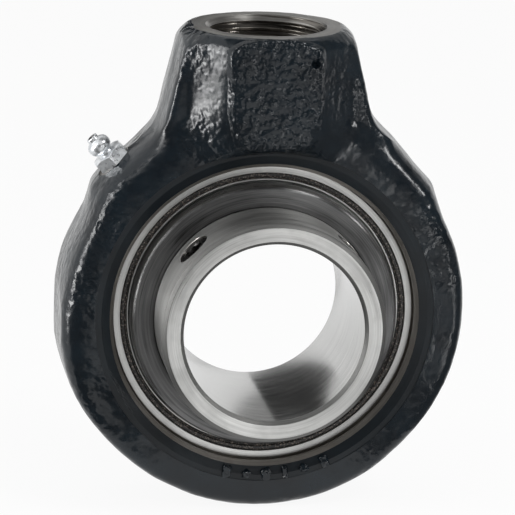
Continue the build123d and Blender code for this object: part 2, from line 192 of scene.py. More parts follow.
def turnedMetal(name, axis, dark, light, roughness, pitchMm, depthMm, stain="#8a7a6a", stainShare=0.0,
                spread=0.7):
    # steel as a tool or wheel left it: fine lines round the axis, uneven in shade and gloss
    material, tree, shader, place = newMaterial(name)
    marks = latheMarks(tree, place, axis, pitchMm, 30.0)
    broad = latheMarks(tree, place, axis, pitchMm * 6, 18.0)
    mixed = maths(tree, "ADD", maths(tree, "MULTIPLY", marks, 0.5), maths(tree, "MULTIPLY", broad, 0.5))
    colour = ramp(tree, mixed, [(0.36, dark), (0.64, light)])
    if stainShare:
        patch = ramp(tree, grain(tree, place, 7.0, 4.0), [(0.5, 0.0), (0.75, stainShare)])
        colour = addNode(tree, "ShaderNodeMixRGB", {"Fac": patch, "Color1": colour,
                         "Color2": hexColour(stain)}).outputs[0]
    tree.links.new(colour, shader.inputs["Base Color"])
    shader.inputs["Metallic"].default_value = 1.0
    gloss = addNode(tree, "ShaderNodeMapRange", {"Value": mixed, "From Min": 0.35, "From Max": 0.65,
                    "To Min": roughness * 0.8, "To Max": roughness * 1.25}).outputs[0]
    tree.links.new(gloss, shader.inputs["Roughness"])
    tree.links.new(bump(tree, marks, depthMm), shader.inputs["Normal"])
    # light spreads across the lay of the marks, not along it
    lay = addNode(tree, "ShaderNodeTangent", direction_type="RADIAL", axis=axis)
    tree.links.new(lay.outputs[0], shader.inputs["Tangent"])
    shader.inputs["Anisotropic"].default_value = spread
    shader.inputs["Anisotropic Rotation"].default_value = 0.25
    return material


def plainMetal(name, dark, light, roughness, sizeMm, depthMm):
    # plated, oxidised or drawn steel: blotchy shade, no direction
    material, tree, shader, place = newMaterial(name)
    blotch = grain(tree, place, sizeMm, 4.0)
    tree.links.new(ramp(tree, blotch, [(0.35, dark), (0.65, light)]), shader.inputs["Base Color"])
    shader.inputs["Metallic"].default_value = 1.0
    gloss = addNode(tree, "ShaderNodeMapRange", {"Value": grain(tree, place, sizeMm * 0.4, 3.0),
                    "From Min": 0.35, "From Max": 0.65, "To Min": roughness * 0.75,
                    "To Max": roughness * 1.3}).outputs[0]
    tree.links.new(gloss, shader.inputs["Roughness"])
    tree.links.new(bump(tree, grain(tree, place, sizeMm * 0.2, 3.0), depthMm), shader.inputs["Normal"])
    return material


def nitrileRubber():
    # moulded black nitrile with a film of grease and dust that catches light in specks
    material, tree, shader, place = newMaterial("nitrileRubber")
    colour = ramp(tree, grain(tree, place, 2.0, 4.0), [(0.35, "#0d0c0b"), (0.7, "#231f1c")])
    specks = ramp(tree, grain(tree, place, 0.5, 2.0), [(0.55, 0.0), (0.66, 1.0)])
    colour = addNode(tree, "ShaderNodeMixRGB", {"Fac": specks, "Color1": colour,
                     "Color2": hexColour("#80766d")}).outputs[0]
    tree.links.new(colour, shader.inputs["Base Color"])
    tree.links.new(bump(tree, grain(tree, place, 0.7, 3.0), 0.14), shader.inputs["Normal"])
    shader.inputs["Roughness"].default_value = 0.42
    shader.inputs["IOR"].default_value = 1.52
    return material


finishes = {
    "enamel": castEnamel(),
    "enamelTurned": machinedEnamel(),
    "bossSteel": turnedMetal("turnedIronBoss", "Z", "#6e6c69", "#a9a7a3", 0.34, 0.28, 0.012),
    "ringSteel": turnedMetal("groundBearingSteel", "Y", "#757574", "#9e9e9c", 0.44, 0.2, 0.003, spread=0.9),
    "boreSteel": turnedMetal("groundBearingBore", "Y", "#a8a8a7", "#bdbdbb", 0.17, 0.3, 0.0008, spread=0.3),
    "flingerSteel": turnedMetal("pressedFlingerSteel", "Y", "#4a4a4a", "#848484", 0.33, 0.3, 0.004,
                                spread=0.9),
    "sealSteel": turnedMetal("pressedSealSteel", "Y", "#9d9d9c", "#c9c9c8", 0.3, 0.2, 0.006),
    "rubber": nitrileRubber(),
    "blackSteel": plainMetal("blackOxideSteel", "#2b2b2a", "#4b4a49", 0.3, 1.6, 0.01),
    "zinc": plainMetal("brightZincPlate", "#cccfd2", "#eceef0", 0.36, 2.4, 0.003),
    "edgeSteel": turnedMetal("turnedEdgeSteel", "Y", "#5f5f5e", "#828280", 0.5, 0.25, 0.003, spread=0.5),
    # the seal plate's steel made lighter on its rolled rim: a painted highlight along the rim
    "rimPaintedHighlight": turnedMetal("rolledRimPaintedHighlight", "Y", "#cfcfcd", "#f0f0ee", 0.45, 0.3, 0.003, spread=0.6),
    "polished": plainMetal("polishedBallSteel", "#b8b8b8", "#d8d8d8", 0.09, 4.0, 0.001),
    "cage": plainMetal("pressedCageSteel", "#7f7d79", "#a7a5a1", 0.35, 3.0, 0.006),
    "faceSteel": turnedMetal("groundFaceSteel", "Y", "#b4b4b2", "#dededc", 0.33, 0.3, 0.003,
                             "#8c8c8a", 0.35),
    "sphereSteel": turnedMetal("groundSphereSteel", "Y", "#a5a29c", "#cbc8c2", 0.26, 0.2, 0.004,
                               "#6b5440", 0.3),
    "chamferSteel": turnedMetal("turnedChamferSteel", "Y", "#96928d", "#bab5af", 0.42, 0.25, 0.004,
                                "#7a6a5c", 0.25),
    # the flinger's steel made lighter on its outer bend: a painted highlight along the rim
    "flingerEdgePaintedHighlight": turnedMetal("rolledFlingerEdgePaintedHighlight", "Y", "#8b8b8a", "#b2b2b0", 0.3, 0.3, 0.004),
    "threadedSteel": turnedMetal("tappedSteel", "Y", "#8d8b88", "#b8b6b2", 0.3, 0.3, 0.01),
    "threadIron": turnedMetal("tappedIron", "Z", "#55514c", "#8d8983", 0.28, 0.3, 0.008),
    "socketSteel": plainMetal("broachedSocketSteel", "#2a2a2a", "#5a5958", 0.3, 1.2, 0.02),
    "wire": plainMetal("drawnSpringWire", "#6d6d6d", "#9a9a9a", 0.3, 1.0, 0.004),
}
print("materials made,", len(finishes))


# ---- making pieces

def closedProfile(bm, points):
    corners = [bm.verts.new(point) for point in points]
    return corners + [bm.edges.new(pair) for pair in zip(corners, corners[1:] + corners[:1])]


def turned(points, steps=288, about=None):
    # points are (radius, place along the axis) in mm, spun round Y and then moved by about
    bm = bmesh.new()
    profile = closedProfile(bm, [Vector((radius, along, 0)) * mm for radius, along in points])
    bmesh.ops.spin(bm, geom=profile, cent=(0, 0, 0), axis=(0, 1, 0), angle=math.tau,
                   steps=steps, use_merge=True)
    bmesh.ops.remove_doubles(bm, verts=bm.verts, dist=1e-7)
    bmesh.ops.recalc_face_normals(bm, faces=bm.faces)
    if about is not None:
        bmesh.ops.transform(bm, matrix=about, verts=bm.verts)
    return bm


def arc(across, along, radius, start, end, count=12):
    # points (radius, place along the axis) of an arc in the profile, angles in degrees
    angles = [math.radians(start + (end - start) * i / (count - 1)) for i in range(count)]
    return [(across + radius * math.cos(angle), along + radius * math.sin(angle)) for angle in angles]


def facing(points, side):
    # the same profile for the front or the rear
    return [(radius, side * along) for radius, along in points]


def eased(points, reach=0.12):
    # rounds the sharp corners of a profile, as deburring leaves them
    result = []
    for before, corner, after in zip(points[-1:] + points[:-1], points, points[1:] + points[:1]):
        middle = Vector(corner)
        inward, outward = Vector(before) - middle, Vector(after) - middle
        if inward.angle(outward) > math.radians(150):
            result.append(corner)
            continue
        cut = min(reach, inward.length / 3, outward.length / 3)
        first, last = middle + inward.normalized() * cut, middle + outward.normalized() * cut
        result += [tuple(first), tuple((first + last + 2 * middle) / 4), tuple(last)]
    return result


def easeEdges(bm, widthMm, segments=2, angle=25):
    sharp = [edge for edge in bm.edges if edge.calc_face_angle(0) > math.radians(angle)]
    bmesh.ops.bevel(bm, geom=sharp, offset=widthMm * mm, offset_type="OFFSET", affect="EDGES",
                    segments=segments, profile=0.5, material=-1, clamp_overlap=True)


def smoothOver(bm, verts, passes, alongZ=True):
    for _ in range(passes):
        bmesh.ops.smooth_vert(bm, verts=verts, factor=0.5, use_axis_x=True, use_axis_y=True,
                              use_axis_z=alongZ)


def newObject(name, bm, finish=None):
    mesh = bpy.data.meshes.new(name)
    bm.to_mesh(mesh)
    bm.free()
    piece = bpy.data.objects.new(name, mesh)
    bpy.context.scene.collection.objects.link(piece)
    if finish:
        mesh.materials.append(finishes[finish])
    return piece


def bakeModifiers(piece):
    graph = bpy.context.evaluated_depsgraph_get()
    mesh = bpy.data.meshes.new_from_object(piece.evaluated_get(graph))
    piece.modifiers.clear()
    piece.data = mesh


def cutWith(piece, cutter, operation="DIFFERENCE", solver="MANIFOLD"):
    modifier = piece.modifiers.new("cut", "BOOLEAN")
    modifier.operation = operation
    modifier.solver = solver
    modifier.material_mode = "TRANSFER"
    modifier.object = cutter
    bakeModifiers(piece)
    bpy.data.objects.remove(cutter)


def paint(piece, choose):
    # gives each face the finish that choose names from its radius, place along Y and normal
    mesh = piece.data
    names = [material.name for material in mesh.materials]
    for face in mesh.polygons:
        centre = face.center / mm
        material = finishes[choose(math.hypot(centre.x, centre.z), centre.y, face.normal)]
        if material.name not in names:
            mesh.materials.append(material)
            names.append(material.name)
        face.material_index = names.index(material.name)


def finishPiece(piece, body, replaced=(), sharpAngle=35):
    for face in piece.data.polygons:
        face.use_smooth = True
    piece.data.set_sharp_from_angle(angle=math.radians(sharpAngle))
    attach(piece, body)
    if replaced:
        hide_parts(*replaced)
    print(piece.name, "faces", len(piece.data.polygons))
    return piece


def acrossShaft(angle):
    return Vector((math.cos(math.radians(angle)), 0, math.sin(math.radians(angle))))


def radialMatrix(angle, alongMm, distanceMm):
    # turns local Y outwards across the shaft at that angle
    out = acrossShaft(angle)
    side = Vector((0, 1, 0))
    basis = Matrix((side, out, side.cross(out))).transposed().to_4x4()
    return Matrix.Translation(out * distanceMm * mm + Vector((0, alongMm * mm, 0))) @ basis


# ---- cast housing
housing = {
    "voxel": 0.75,            # grain of the remeshed casting, mm
    "smoothPasses": 6,
    "halfWidth": 14.5, "spotFaceRadius": 47.4,
    "machiningStock": 0.3,    # the casting is left proud of the turned faces by this
    "seatRadius": 45.05,
    "seatHalfWidth": 11.2,    # beyond it the bore is a plain cylinder out to the mouth
    "mouthRadius": 42.4, "mouthBevel": 1.0,
    "dishRadius": 45.8, "dishDepth": 0.8,      # shallow countersink round the mouth
    "slotHalfHeight": 10.3,   # loading slots for the insert, open to the rear
    "threadMinor": 15.145, "threadMajor": 16.62, "threadPitch": 2.309, "threadDepth": 25.0,
    "threadChamfer": 1.7,
    "nippleSpotRadius": 5.9,
    "lumpSize": 8.0, "lumpHeight": 0.16,
    "sandSize": 3.0, "sandHeight": 0.07,
    # where the casting swells or draws in: angle from +X, spread in degrees, height in mm
    "swells": [(200, 17, 1.3), (183, 9, 0.5), (152, 9, -0.9), (127, 10, -0.8), (55, 10, 0.9),
               (320, 14, -0.35)],
    "swellStart": 49.0, "swellFade": 5.0,      # swells grow from nothing over this stretch of radius
}

# a blow hole in the front pad, with a slightly raised lip
blowHole = {"x": 10.6, "z": 72.6, "front": -15.0, "depth": 1.9, "radius": 1.15,
            "lip": 0.3, "lipRadius": 2.3, "lipWidth": 0.6}

# the front left corner of the boss was ground rounder between two heights
groundCorner = {"x": -12.4, "y": -20.5, "reach": 5, "low": 44, "high": 70, "passes": 60}

# the front edge of the ring was fettled rounder over these angles
fettling = {
    "spans": [(100, 188), (38, 82)], "inner": 45.6, "outer": 60, "behind": -3,
    # each span starts wider by overrun and closes in, so that the rounding fades out at its ends
    "steps": 9, "passesEach": 24, "closeIn": 4, "overrun": 16,
}


def solidRound(radius, low, high, axis="Y", steps=160, finish=None, top=None):
    # a plain round cutter or filler along one axis, in mm
    bm = bmesh.new()
    bmesh.ops.create_cone(bm, cap_ends=True, segments=steps, radius1=radius * mm,
                          radius2=(radius if top is None else top) * mm, depth=(high - low) * mm)
    bmesh.ops.translate(bm, verts=bm.verts, vec=(0, 0, (high + low) / 2 * mm))
    if axis == "Y":
        bmesh.ops.rotate(bm, verts=bm.verts, cent=(0, 0, 0), matrix=Matrix.Rotation(-math.pi / 2, 3, "X"))
    return newObject("tool", bm, finish)


def solidBox(low, high, finish=None):
    bm = bmesh.new()
    bmesh.ops.create_cube(bm, size=1)
    low, high = Vector(low) * mm, Vector(high) * mm
    bmesh.ops.scale(bm, verts=bm.verts, vec=high - low)
    bmesh.ops.translate(bm, verts=bm.verts, vec=(low + high) / 2)
    return newObject("tool", bm, finish)


def joinInto(bm, source):
    bm.from_mesh(source.data)
    bpy.data.objects.remove(source)


def angleOf(vert):
    # degrees round the shaft from +X
    return math.degrees(math.atan2(vert.co.z, vert.co.x)) % 360


def castBlank():
    # the solid housing with stock where it is machined, remeshed evenly
    s = housing
    top = boxMm("housing")[1].z
    bm = bmesh.new()
    bm.from_mesh(nodes["housing"].data)
    bmesh.ops.remove_doubles(bm, verts=bm.verts, dist=1e-6)
    # stock where the machining is cut again afterwards, so its edges come out crisp
    proud = s["machiningStock"]
    joinInto(bm, solidRound(s["spotFaceRadius"] + 0.5, -s["halfWidth"] - proud, s["halfWidth"] + proud))
    joinInto(bm, solidRound(s["threadMajor"] + 3, top - s["threadDepth"] - 1, top + proud, "Z"))
    spot = solidRound(s["nippleSpotRadius"] - 0.4, -4, 0.7)
    spot.data.transform(radialMatrix(nipple["angle"], 0, nipple["distance"]))
    joinInto(bm, spot)
    casting = newObject("castHousing", bm, "enamel")
    remesh = casting.modifiers.new("remesh", "REMESH")
    remesh.mode = "VOXEL"
    remesh.voxel_size = s["voxel"] * mm
    bakeModifiers(casting)
    print("casting remeshed,", len(casting.data.polygons), "faces")
    return casting


def pitHeight(place):
    # how far the blow hole moves the front pad back at that place, in mm
    s = blowHole
    away = math.hypot(place.x - s["x"], place.z - s["z"])
    return s["depth"] * math.exp(-(away / s["radius"]) ** 2) - s["lip"] * math.exp(
        -((away - s["lipRadius"]) / s["lipWidth"]) ** 2)


def roughen(casting):
    # the sand's lumps, the swells of a worn pattern, a blow hole and hand-fettled edges
    s = housing
    bm = bmesh.new()
    bm.from_mesh(casting.data)
    smoothOver(bm, bm.verts, s["smoothPasses"])
    bm.normal_update()
    lumps, sand = 1 / (s["lumpSize"] * mm), 1 / (s["sandSize"] * mm)
    for vert in bm.verts:
        lump, speck = noise.noise(vert.co * lumps), noise.noise(vert.co * sand)
        vert.co += vert.normal * (s["lumpHeight"] * lump + s["sandHeight"] * speck) * mm
        place = vert.co / mm
        angle = math.degrees(math.atan2(place.z, place.x)) % 360
        share = min(max((math.hypot(place.x, place.z) - s["swellStart"]) / s["swellFade"], 0), 1)
        swell = sum(tall * math.exp(-((angle - at) / spread) ** 2) for at, spread, tall in s["swells"])
        vert.co += acrossShaft(angle) * swell * share * mm
        if place.y < blowHole["front"]:
            vert.co.y += pitHeight(place) * mm

    c = groundCorner
    corner = [vert for vert in bm.verts if c["low"] < vert.co.z / mm < c["high"]
              and Vector((vert.co.x / mm - c["x"], vert.co.y / mm - c["y"])).length < c["reach"]]
    smoothOver(bm, corner, c["passes"], alongZ=False)

    f = fettling
    rim = [(vert, angleOf(vert)) for vert in bm.verts if vert.co.y < f["behind"] * mm
           and f["inner"] < math.hypot(vert.co.x, vert.co.z) / mm < f["outer"]]
    for step in range(f["steps"]):
        inset = f["closeIn"] * step - f["overrun"]
        edges = [vert for vert, angle in rim
                 if any(start + inset < angle < end - inset for start, end in f["spans"])]
        smoothOver(bm, edges, f["passesEach"])

    # the stock on top of the boss may stand proud of the finished height, nothing else may
    low, high = boxMm("housing")
    room = (0, 0, s["machiningStock"])
    for vert in bm.verts:
        for i in range(3):
            vert.co[i] = min(max(vert.co[i], low[i] * mm), (high[i] + room[i]) * mm)
    bm.to_mesh(casting.data)
    bm.free()


def turnFaces(casting):
    # the side faces, the spherical seat, the plain bore at each mouth and the countersink outside it
    s = housing
    half, deep = s["halfWidth"], 16     # deep is clear of the casting's sides
    for turn in (math.pi, 0):
        face = solidRound(s["spotFaceRadius"], half, half + 12, finish="enamelTurned")
        face.data.transform(Matrix.Rotation(turn, 4, "Z"))
        cutWith(casting, face)
    seatEdge, mouth = s["seatHalfWidth"], s["mouthRadius"]
    reach = math.degrees(math.asin(seatEdge / s["seatRadius"]))
    dishFloor, bevel = half - s["dishDepth"], s["mouthBevel"]
    wide = mouth + bevel
    seat = [(0, -deep), (wide, -deep), (wide, -dishFloor), (mouth, bevel - dishFloor), (mouth, -seatEdge),
            *arc(0, 0, s["seatRadius"], -reach, reach, 60), (mouth, seatEdge), (mouth, dishFloor - bevel),
            (wide, dishFloor), (wide, deep), (0, deep)]
    cutWith(casting, newObject("tool", turned(seat), "chamferSteel"))
    for side in (-1, 1):
        dish = [(0, dishFloor - 0.2), (wide - 0.6, dishFloor - 0.2), (s["dishRadius"], half),
                (s["dishRadius"] + 0.6, deep), (0, deep)]
        cutWith(casting, newObject("tool", turned(facing(dish, side)), "enamelTurned"))
    for side in (-1, 1):
        left, right = sorted((0, side * s["seatRadius"]))
        tall = s["slotHalfHeight"]
        cutWith(casting, solidBox((left, 0, -tall), (right, half + 5, tall), "enamelTurned"))


def machineBoss(casting):
    # the top face, the pipe thread with its chamfer, and the nipple's spot face
    s = housing
    side, top = 2 * boxMm("housing")[1].x, boxMm("housing")[1].z
    cutWith(casting, solidBox((-side, -side, top), (side, side, top + 10), "bossSteel"))
    cutWith(casting, threadTool(s["threadMinor"], s["threadMajor"], s["threadPitch"], top - s["threadDepth"],
                                top + 2, finish="threadIron"))
    minor, chamfer = s["threadMinor"], s["threadChamfer"]
    cutWith(casting, solidRound(minor - 1, top - chamfer - 1, top + 1, "Z", top=minor + chamfer + 1,
                                finish="bossSteel"))
    spot = solidRound(s["nippleSpotRadius"], 0, 12, steps=64, finish="bossSteel")
    spot.data.transform(radialMatrix(nipple["angle"], 0, nipple["distance"]))
    cutWith(casting, spot)


def makeHousing():
    casting = castBlank()
    roughen(casting)
    turnFaces(casting)
    machineBoss(casting)
    finishPiece(casting, "housing", ["housing"], 40)
    # machined edges stay crisp against the casting and against each other
    bm = bmesh.new()
    bm.from_mesh(casting.data)
    cast = [material.name for material in casting.data.materials].index("castEnamel")
    for edge in bm.edges:
        kinds = {face.material_index for face in edge.link_faces}
        if len(kinds) > 1 or (cast not in kinds and edge.calc_face_angle(0) > math.radians(9)):
            edge.smooth = False
    bm.to_mesh(casting.data)
    bm.free()


# share of a turn against share of the thread's depth, from crest to root and back
threadShape = [(0, 0), (0.07, 0.04), (0.12, 0.14), (0.38, 0.86), (0.43, 0.96), (0.5, 1), (0.57, 0.96),
               (0.62, 0.86), (0.88, 0.14), (0.93, 0.04), (1, 0)]


def threadTool(minor, major, pitch, low, high, steps=96, finish=None):
    # the bolt that would fill a threaded hole along Z, a tooth swept up a helix with closed ends
    bm = bmesh.new()
    line = [bm.verts.new(Vector((minor + (major - minor) * depth, 0, low + pitch * turn)) * mm)
            for turn, depth in threadShape]
    edges = [bm.edges.new(pair) for pair in zip(line, line[1:])]
    turns = math.ceil((high - low) / pitch)
    bmesh.ops.spin(bm, geom=line + edges, cent=(0, 0, 0), axis=(0, 0, 1), angle=math.tau * turns,
                   dvec=(0, 0, pitch * mm / steps), steps=steps * turns, use_merge=False)
    bmesh.ops.remove_doubles(bm, verts=bm.verts, dist=2e-6)
    ends = bmesh.ops.holes_fill(bm, edges=[edge for edge in bm.edges if edge.is_boundary], sides=0)
    bmesh.ops.poke(bm, faces=ends["faces"])
    bmesh.ops.recalc_face_normals(bm, faces=bm.faces)
    return newObject("tool", bm, finish)


# six raised marks that a foundry's pattern leaves, plain bars and dots
pips = {
    # angle from +X, width and height of each
    "marks": [(-102.3, 2.4, 3.6), (-95.2, 2.2, 2.2), (-88.2, 2.6, 3.6), (-81.4, 1.7, 3.6),
              (-74.4, 2.2, 2.2), (-67.0, 2.5, 3.6)],
    "radius": 45.6, "along": -14.1, "thick": 2.8, "ease": 0.5,
    "cell": 0.4, "smoothPasses": 3, "worn": 0.55, "wornSize": 0.9, "seed": 4,
}


def makePips():
    s = pips
    bm = bmesh.new()
    for angle, wide, tall in s["marks"]:
        verts = bmesh.ops.create_cube(bm, size=1)["verts"]
        bmesh.ops.scale(bm, verts=verts, vec=Vector((wide, s["thick"], tall)) * mm)
        bmesh.ops.translate(bm, verts=verts, vec=Vector((0, s["along"], -s["radius"])) * mm)
        bmesh.ops.rotate(bm, verts=verts, cent=(0, 0, 0),
                         matrix=Matrix.Rotation(math.radians(-90 - angle), 3, "Y"))
    easeEdges(bm, s["ease"], 3)
    coarse = [edge for edge in bm.edges if edge.calc_length() > s["cell"] * mm]
    bmesh.ops.subdivide_edges(bm, edges=coarse, cuts=3, use_grid_fill=True)
    smoothOver(bm, bm.verts, s["smoothPasses"])
    noise.seed_set(s["seed"])     # noise_vector is offset at random without it
    for vert in bm.verts:
        vert.co += s["worn"] * mm * noise.noise_vector(vert.co / (s["wornSize"] * mm))
    return finishPiece(newObject("foundryPips", bm, "enamel"), "housing", (), 60)


# ---- bearing insert
insert = {
    "bore": 25.0, "boreChamfer": 1.0,
    "ring": 31.0, "ringChamfer": 1.2, "ringFront": 32.6, "ringRear": 19.0,
    "sphere": 45.0, "halfWidth": 10.0, "chamfer": 1.9, "shoulder": 38.9,
    "pitchRadius": 35.0, "ballCount": 10, "ballRadius": 6.35, "grooveRadius": 6.6, "grooveOffset": 0.23,
    "lubeGroove": (5.0, 4.4, 0.8),               # place along the shaft, width and depth
    "lubeHole": (6.2, 0.9, (135.0, 15.0)),       # place along the shaft, radius and angles
    "sealBore": 40.1, "sealInner": 7.45, "membrane": 0.4, "plate": 0.6, "plateBend": 0.5,
    "rim": 38.2, "rimWall": 0.45, "rimFace": 8.9, "rimEase": 0.12, "plateBore": 33.2,
    "rubberFace": 9.6, "bead": 0.5, "lipFace": 8.8, "lipClearance": 0.05,
    "flinger": 37.1, "flingerFace": 14.0, "sheet": 0.8, "bend": 1.3, "hubBend": 0.5,
    "skirtEnd": 9.1, "hubEnd": 9.4,
    "screwY": -22.6, "screwHole": 4.95, "screwFlare": 0.5,
    "screwAngles": {"set_screw_left": 135.0, "set_screw_right": 45.0},
}


def makeInnerRing():
    s = insert
    front, rear, ring, chamfer = -s["ringFront"], s["ringRear"], s["ring"], s["ringChamfer"]
    bore, boreChamfer = s["bore"], s["boreChamfer"]
    centre = s["pitchRadius"] + s["grooveOffset"]
    reach = math.degrees(math.acos((ring - centre) / s["grooveRadius"]))
    groove = arc(centre, 0, s["grooveRadius"], 360 - reach, reach, 24)
    profile = [(bore + boreChamfer, front), (ring - chamfer, front), (ring, front + chamfer), *groove,
               (ring, rear - chamfer), (ring - chamfer, rear), (bore + boreChamfer, rear),
               (bore, rear - boreChamfer), (bore, front + boreChamfer)]
    piece = newObject("innerRing", turned(eased(profile, 0.14)), "ringSteel")

    def choose(radius, along, normal):
        if radius < bore + 0.2 and abs(normal.y) < 0.3:
            return "boreSteel"
        if abs(normal.y) > 0.9:
            return "faceSteel"
        return "edgeSteel" if abs(normal.y) > 0.35 and not front + 2 < along < rear - 2 else "ringSteel"

    paint(piece, choose)
    drilled, below, above = s["screwHole"], bore - 5, ring + 0.4
    drill = [(0, below), (drilled, below), (drilled, ring - 0.2), (drilled + s["screwFlare"], above),
             (0, above)]
    for angle in s["screwAngles"].values():
        hole = newObject("tool", turned(drill, 96), "threadedSteel")
        hole.data.transform(radialMatrix(angle, s["screwY"], 0))
        cutWith(piece, hole)
    return finishPiece(piece, "shaft_ring", ["inner_ring"], 30)


def makeOuterRing():
    s = insert
    half, sphere, chamfer = s["halfWidth"], s["sphere"], s["chamfer"]
    edge = math.degrees(math.asin(half / sphere)) - math.degrees(chamfer / sphere)
    face = sphere * math.cos(math.asin(half / sphere)) - chamfer
    lubeY, lubeWidth, lubeDepth = s["lubeGroove"]
    lubeStart, lubeEnd = (math.degrees(math.asin((lubeY + side * lubeWidth / 2) / sphere))
                          for side in (-1, 1))
    floor = math.sqrt(sphere ** 2 - lubeY ** 2) - lubeDepth
    centre = s["pitchRadius"] - s["grooveOffset"]
    reach = math.degrees(math.acos((s["shoulder"] - centre) / s["grooveRadius"]))
    inner, sealBore = s["sealInner"], s["sealBore"]
    profile = [(sealBore, -half), (face, -half), *arc(0, 0, sphere, -edge, lubeStart, 40),
               (floor, lubeY - lubeWidth / 2), (floor, lubeY + lubeWidth / 2),
               *arc(0, 0, sphere, lubeEnd, edge, 20), (face, half), (sealBore, half), (sealBore, inner),
               (s["shoulder"], inner), *arc(centre, 0, s["grooveRadius"], reach, -reach, 24),
               (s["shoulder"], -inner), (sealBore, -inner)]
    piece = newObject("outerRing", turned(eased(profile, 0.12)), "sphereSteel")

    def choose(radius, along, normal):
        if abs(normal.y) > 0.9:
            return "faceSteel"
        if radius < sealBore + 0.5:
            return "ringSteel"
        return "chamferSteel" if abs(along) > half - chamfer and abs(normal.y) > 0.4 else "sphereSteel"

    paint(piece, choose)
    holeY, holeRadius, angles = s["lubeHole"]
    for angle in angles:
        hole = solidRound(holeRadius, 30, 50, steps=32, finish="ringSteel")
        hole.data.transform(radialMatrix(angle, holeY, 0))
        cutWith(piece, hole)
    return finishPiece(piece, "insert", ["outer_ring"], 30)


def makeSeals():
    s = insert
    inner, rim, wall, rimFace, ease = s["sealInner"], s["rim"], s["rimWall"], s["rimFace"], s["rimEase"]
    sheet, bend, bead = inner + s["membrane"], s["plateBend"], s["bead"]
    face, grip, lip = s["rubberFace"], s["sealBore"] - 0.02, s["ring"] + s["lipClearance"]
    for side, name in ((-1, "front"), (1, "rear")):
        # steel plate with its turned-out rim, rounded where the press bent it
        plate = [(s["plateBore"], sheet), (rim, sheet), (rim, rimFace - ease), (rim - ease, rimFace),
                 (rim - wall + ease, rimFace), (rim - wall, rimFace - ease),
                 *arc(rim - wall - bend, sheet + s["plate"] + bend, bend, 0, -90, 5),
                 (s["plateBore"], sheet + s["plate"])]
        piece = newObject(f"{name}SealPlate", turned(facing(eased(plate, 0.05), side)), "sealSteel")
        # the rim takes the lighter copy of the plate's steel, a painted highlight
        paint(piece, lambda radius, along, normal: "rimPaintedHighlight" if radius > rim - wall - 0.05 else "sealSteel")
        finishPiece(piece, "insert", [f"{name}_seal_plate"], 40)
        # rubber: a rounded bead in the counterbore, a thin sheet behind the plate, a lip at the bore
        rubber = [(lip, inner), (grip, inner), (grip, face - bead),
                  *arc(grip - bead, face - bead, bead, 20, 90, 5),
                  (rim + 0.75, face), (rim + 0.45, face - 0.28),
                  *arc(rim + 0.31, face - 0.7, 0.3, 60, 180, 5), (rim + 0.01, sheet - 0.01),
                  (lip + 1.4, sheet - 0.01), (lip + 0.45, s["lipFace"]), (lip, s["lipFace"])]
        piece = newObject(f"{name}SealRubber", turned(facing(eased(rubber, 0.08), side)), "rubber")
        finishPiece(piece, "insert", [f"{name}_seal_rubber"], 40)


def makeFlingers():
    s = insert
    outer, face, sheet, bend = s["flinger"], s["flingerFace"], s["sheet"], s["bend"]
    hub, hubBend = s["ring"] + 0.01, s["hubBend"]
    profile = [*arc(hub + hubBend, face - hubBend, hubBend, 180, 90, 5),
               *arc(outer - bend, face - bend, bend, 90, 0, 9),
               (outer, s["skirtEnd"]), (outer - sheet, s["skirtEnd"]),
               *arc(outer - bend, face - bend, bend - sheet, 0, 90, 6),
               *arc(hub + sheet + 0.4, face - sheet - 0.4, 0.4, 90, 180, 4),
               (hub + sheet, s["hubEnd"]), (hub, s["hubEnd"])]
    for side, name in ((-1, "front"), (1, "rear")):
        piece = newObject(f"{name}Flinger", turned(facing(eased(profile, 0.08), side)), "flingerSteel")
        # the outer rim takes the lighter copy of the flinger's steel, a painted highlight
        paint(piece, lambda radius, along, normal: "flingerEdgePaintedHighlight" if radius > outer - 0.25 else "flingerSteel")
        finishPiece(piece, "shaft_ring", [f"{name}_flinger"], 40)


screw = {
    "radius": 4.9, "root": 4.4, "pitch": 1.0, "length": 5.4, "chamfer": 0.6,
    "foot": 25.2,     # distance of its point from the shaft's axis
    "socket": 5.0, "socketDepth": 3.0, "socketFlare": 0.35, "cup": 2.6, "cupFloor": 1.3, "cupDepth": 0.8,
    "crest": 0.15, "flank": 0.35,      # lengths of the thread's flat top and slope
    "names": {"set_screw_left": "leftSetScrew", "set_screw_right": "rightSetScrew"},
}


def solidHex(acrossFlats, low, high, finish=None):
    # a hexagon along Y with corners on X
    bm = bmesh.new()
    corner = acrossFlats / 2 / math.cos(math.pi / 6)
    angles = [i * math.pi / 3 for i in range(6)]
    ring = [bm.verts.new(Vector((corner * math.cos(angle), low, corner * math.sin(angle))) * mm)
            for angle in angles]
    grown = bmesh.ops.extrude_face_region(bm, geom=[bm.faces.new(ring)])
    bmesh.ops.translate(bm, verts=[item for item in grown["geom"] if isinstance(item, bmesh.types.BMVert)],
                        vec=(0, (high - low) * mm, 0))
    bmesh.ops.recalc_face_normals(bm, faces=bm.faces)
    return newObject("tool", bm, finish)


def makeSetScrews():
    s = screw
    outer, length, chamfer, root = s["radius"], s["length"], s["chamfer"], s["root"]
    threads = []
    crest, flank = s["crest"], s["flank"]
    place = chamfer + 0.1
    while place + s["pitch"] < length - chamfer:
        valley = place + crest + flank
        threads += [(outer, place), (outer, place + crest), (root, valley), (root, valley + crest)]
        place += s["pitch"]
    profile = [(0, s["cupDepth"]), (s["cupFloor"], s["cupDepth"]), (s["cup"], 0), (outer - chamfer, 0),
               *threads, (outer, place), (outer, length - chamfer), (outer - chamfer, length), (0, length)]
    half, flare = s["socket"] / 2, s["socketFlare"]
    funnel = [(0, length - flare), (half, length - flare), (half + 2 * flare, length + flare),
              (0, length + flare)]
    for name, angle in insert["screwAngles"].items():
        piece = newObject(s["names"][name], turned(eased(profile, 0.05), 96), "blackSteel")
        cutWith(piece, solidHex(s["socket"], length - s["socketDepth"], length + 1, "socketSteel"))
        cutWith(piece, newObject("tool", turned(funnel, 96), "socketSteel"))
        piece.data.transform(radialMatrix(angle, insert["screwY"], s["foot"]))
        finishPiece(piece, name, [name], 30)


